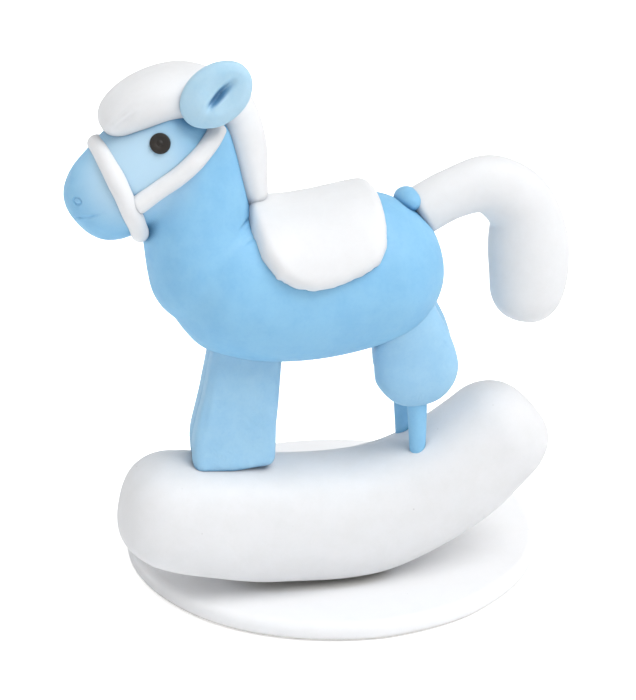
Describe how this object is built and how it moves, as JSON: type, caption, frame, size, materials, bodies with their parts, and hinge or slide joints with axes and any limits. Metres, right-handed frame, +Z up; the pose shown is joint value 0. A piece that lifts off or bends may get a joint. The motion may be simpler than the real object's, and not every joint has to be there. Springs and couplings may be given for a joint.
{
  "type": "rocking horse figurine",
  "caption": "Small hand-modelled clay rocking horse with a saddle, bridle and curled tail, on one fat curved rocker over a round base disc.",
  "frame": {"origin": "centre of the base disc's flat underside", "axes": "+Z up, the horse looks toward -X and its tail is toward +X, its near side faces -Y; the horse stands on the -Y half of the disc, with its middle plane at y = -11.5 mm"},
  "size_m": [0.0526, 0.047, 0.058],
  "materials": {
    "blue_clay": "satin polymer clay, pale sky blue, faint fingerprints",
    "white_clay": "satin polymer clay, white",
    "base_clay": "matt polymer clay, white, rolled flat",
    "black_bead": "black, semi-gloss",
    "steel_wire": "plain drawn wire"
  },
  "bodies": {
    "base": {"base_disc": "base_clay"},
    "horse": {"body": "blue_clay", "far_cheek_strap": "white_clay", "far_ear": "blue_clay", "far_eye": "black_bead", "far_front_leg": "blue_clay", "far_front_leg_wire": "steel_wire", "far_hind_leg": "blue_clay", "far_hind_leg_wire": "steel_wire", "far_hind_peg": "blue_clay", "forelock": "white_clay", "near_cheek_strap": "white_clay", "near_ear": "blue_clay", "near_eye": "black_bead", "near_front_leg": "blue_clay", "near_front_leg_wire": "steel_wire", "near_hind_leg": "blue_clay", "near_hind_leg_wire": "steel_wire", "near_hind_peg": "blue_clay", "neck_mane": "white_clay", "neck_wire": "steel_wire", "noseband": "white_clay", "rocker": "white_clay", "saddle": "white_clay", "tail": "white_clay", "tail_collar": "blue_clay", "tail_wire": "steel_wire"}
  },
  "joints": [
    {"name": "rock", "type": "hinge", "parent": "base", "child": "horse", "pos_m": [-0.0052, -0.0115, 0.0352], "axis": [0, 1, 0], "range_deg": [-16, 18]}
  ]
}
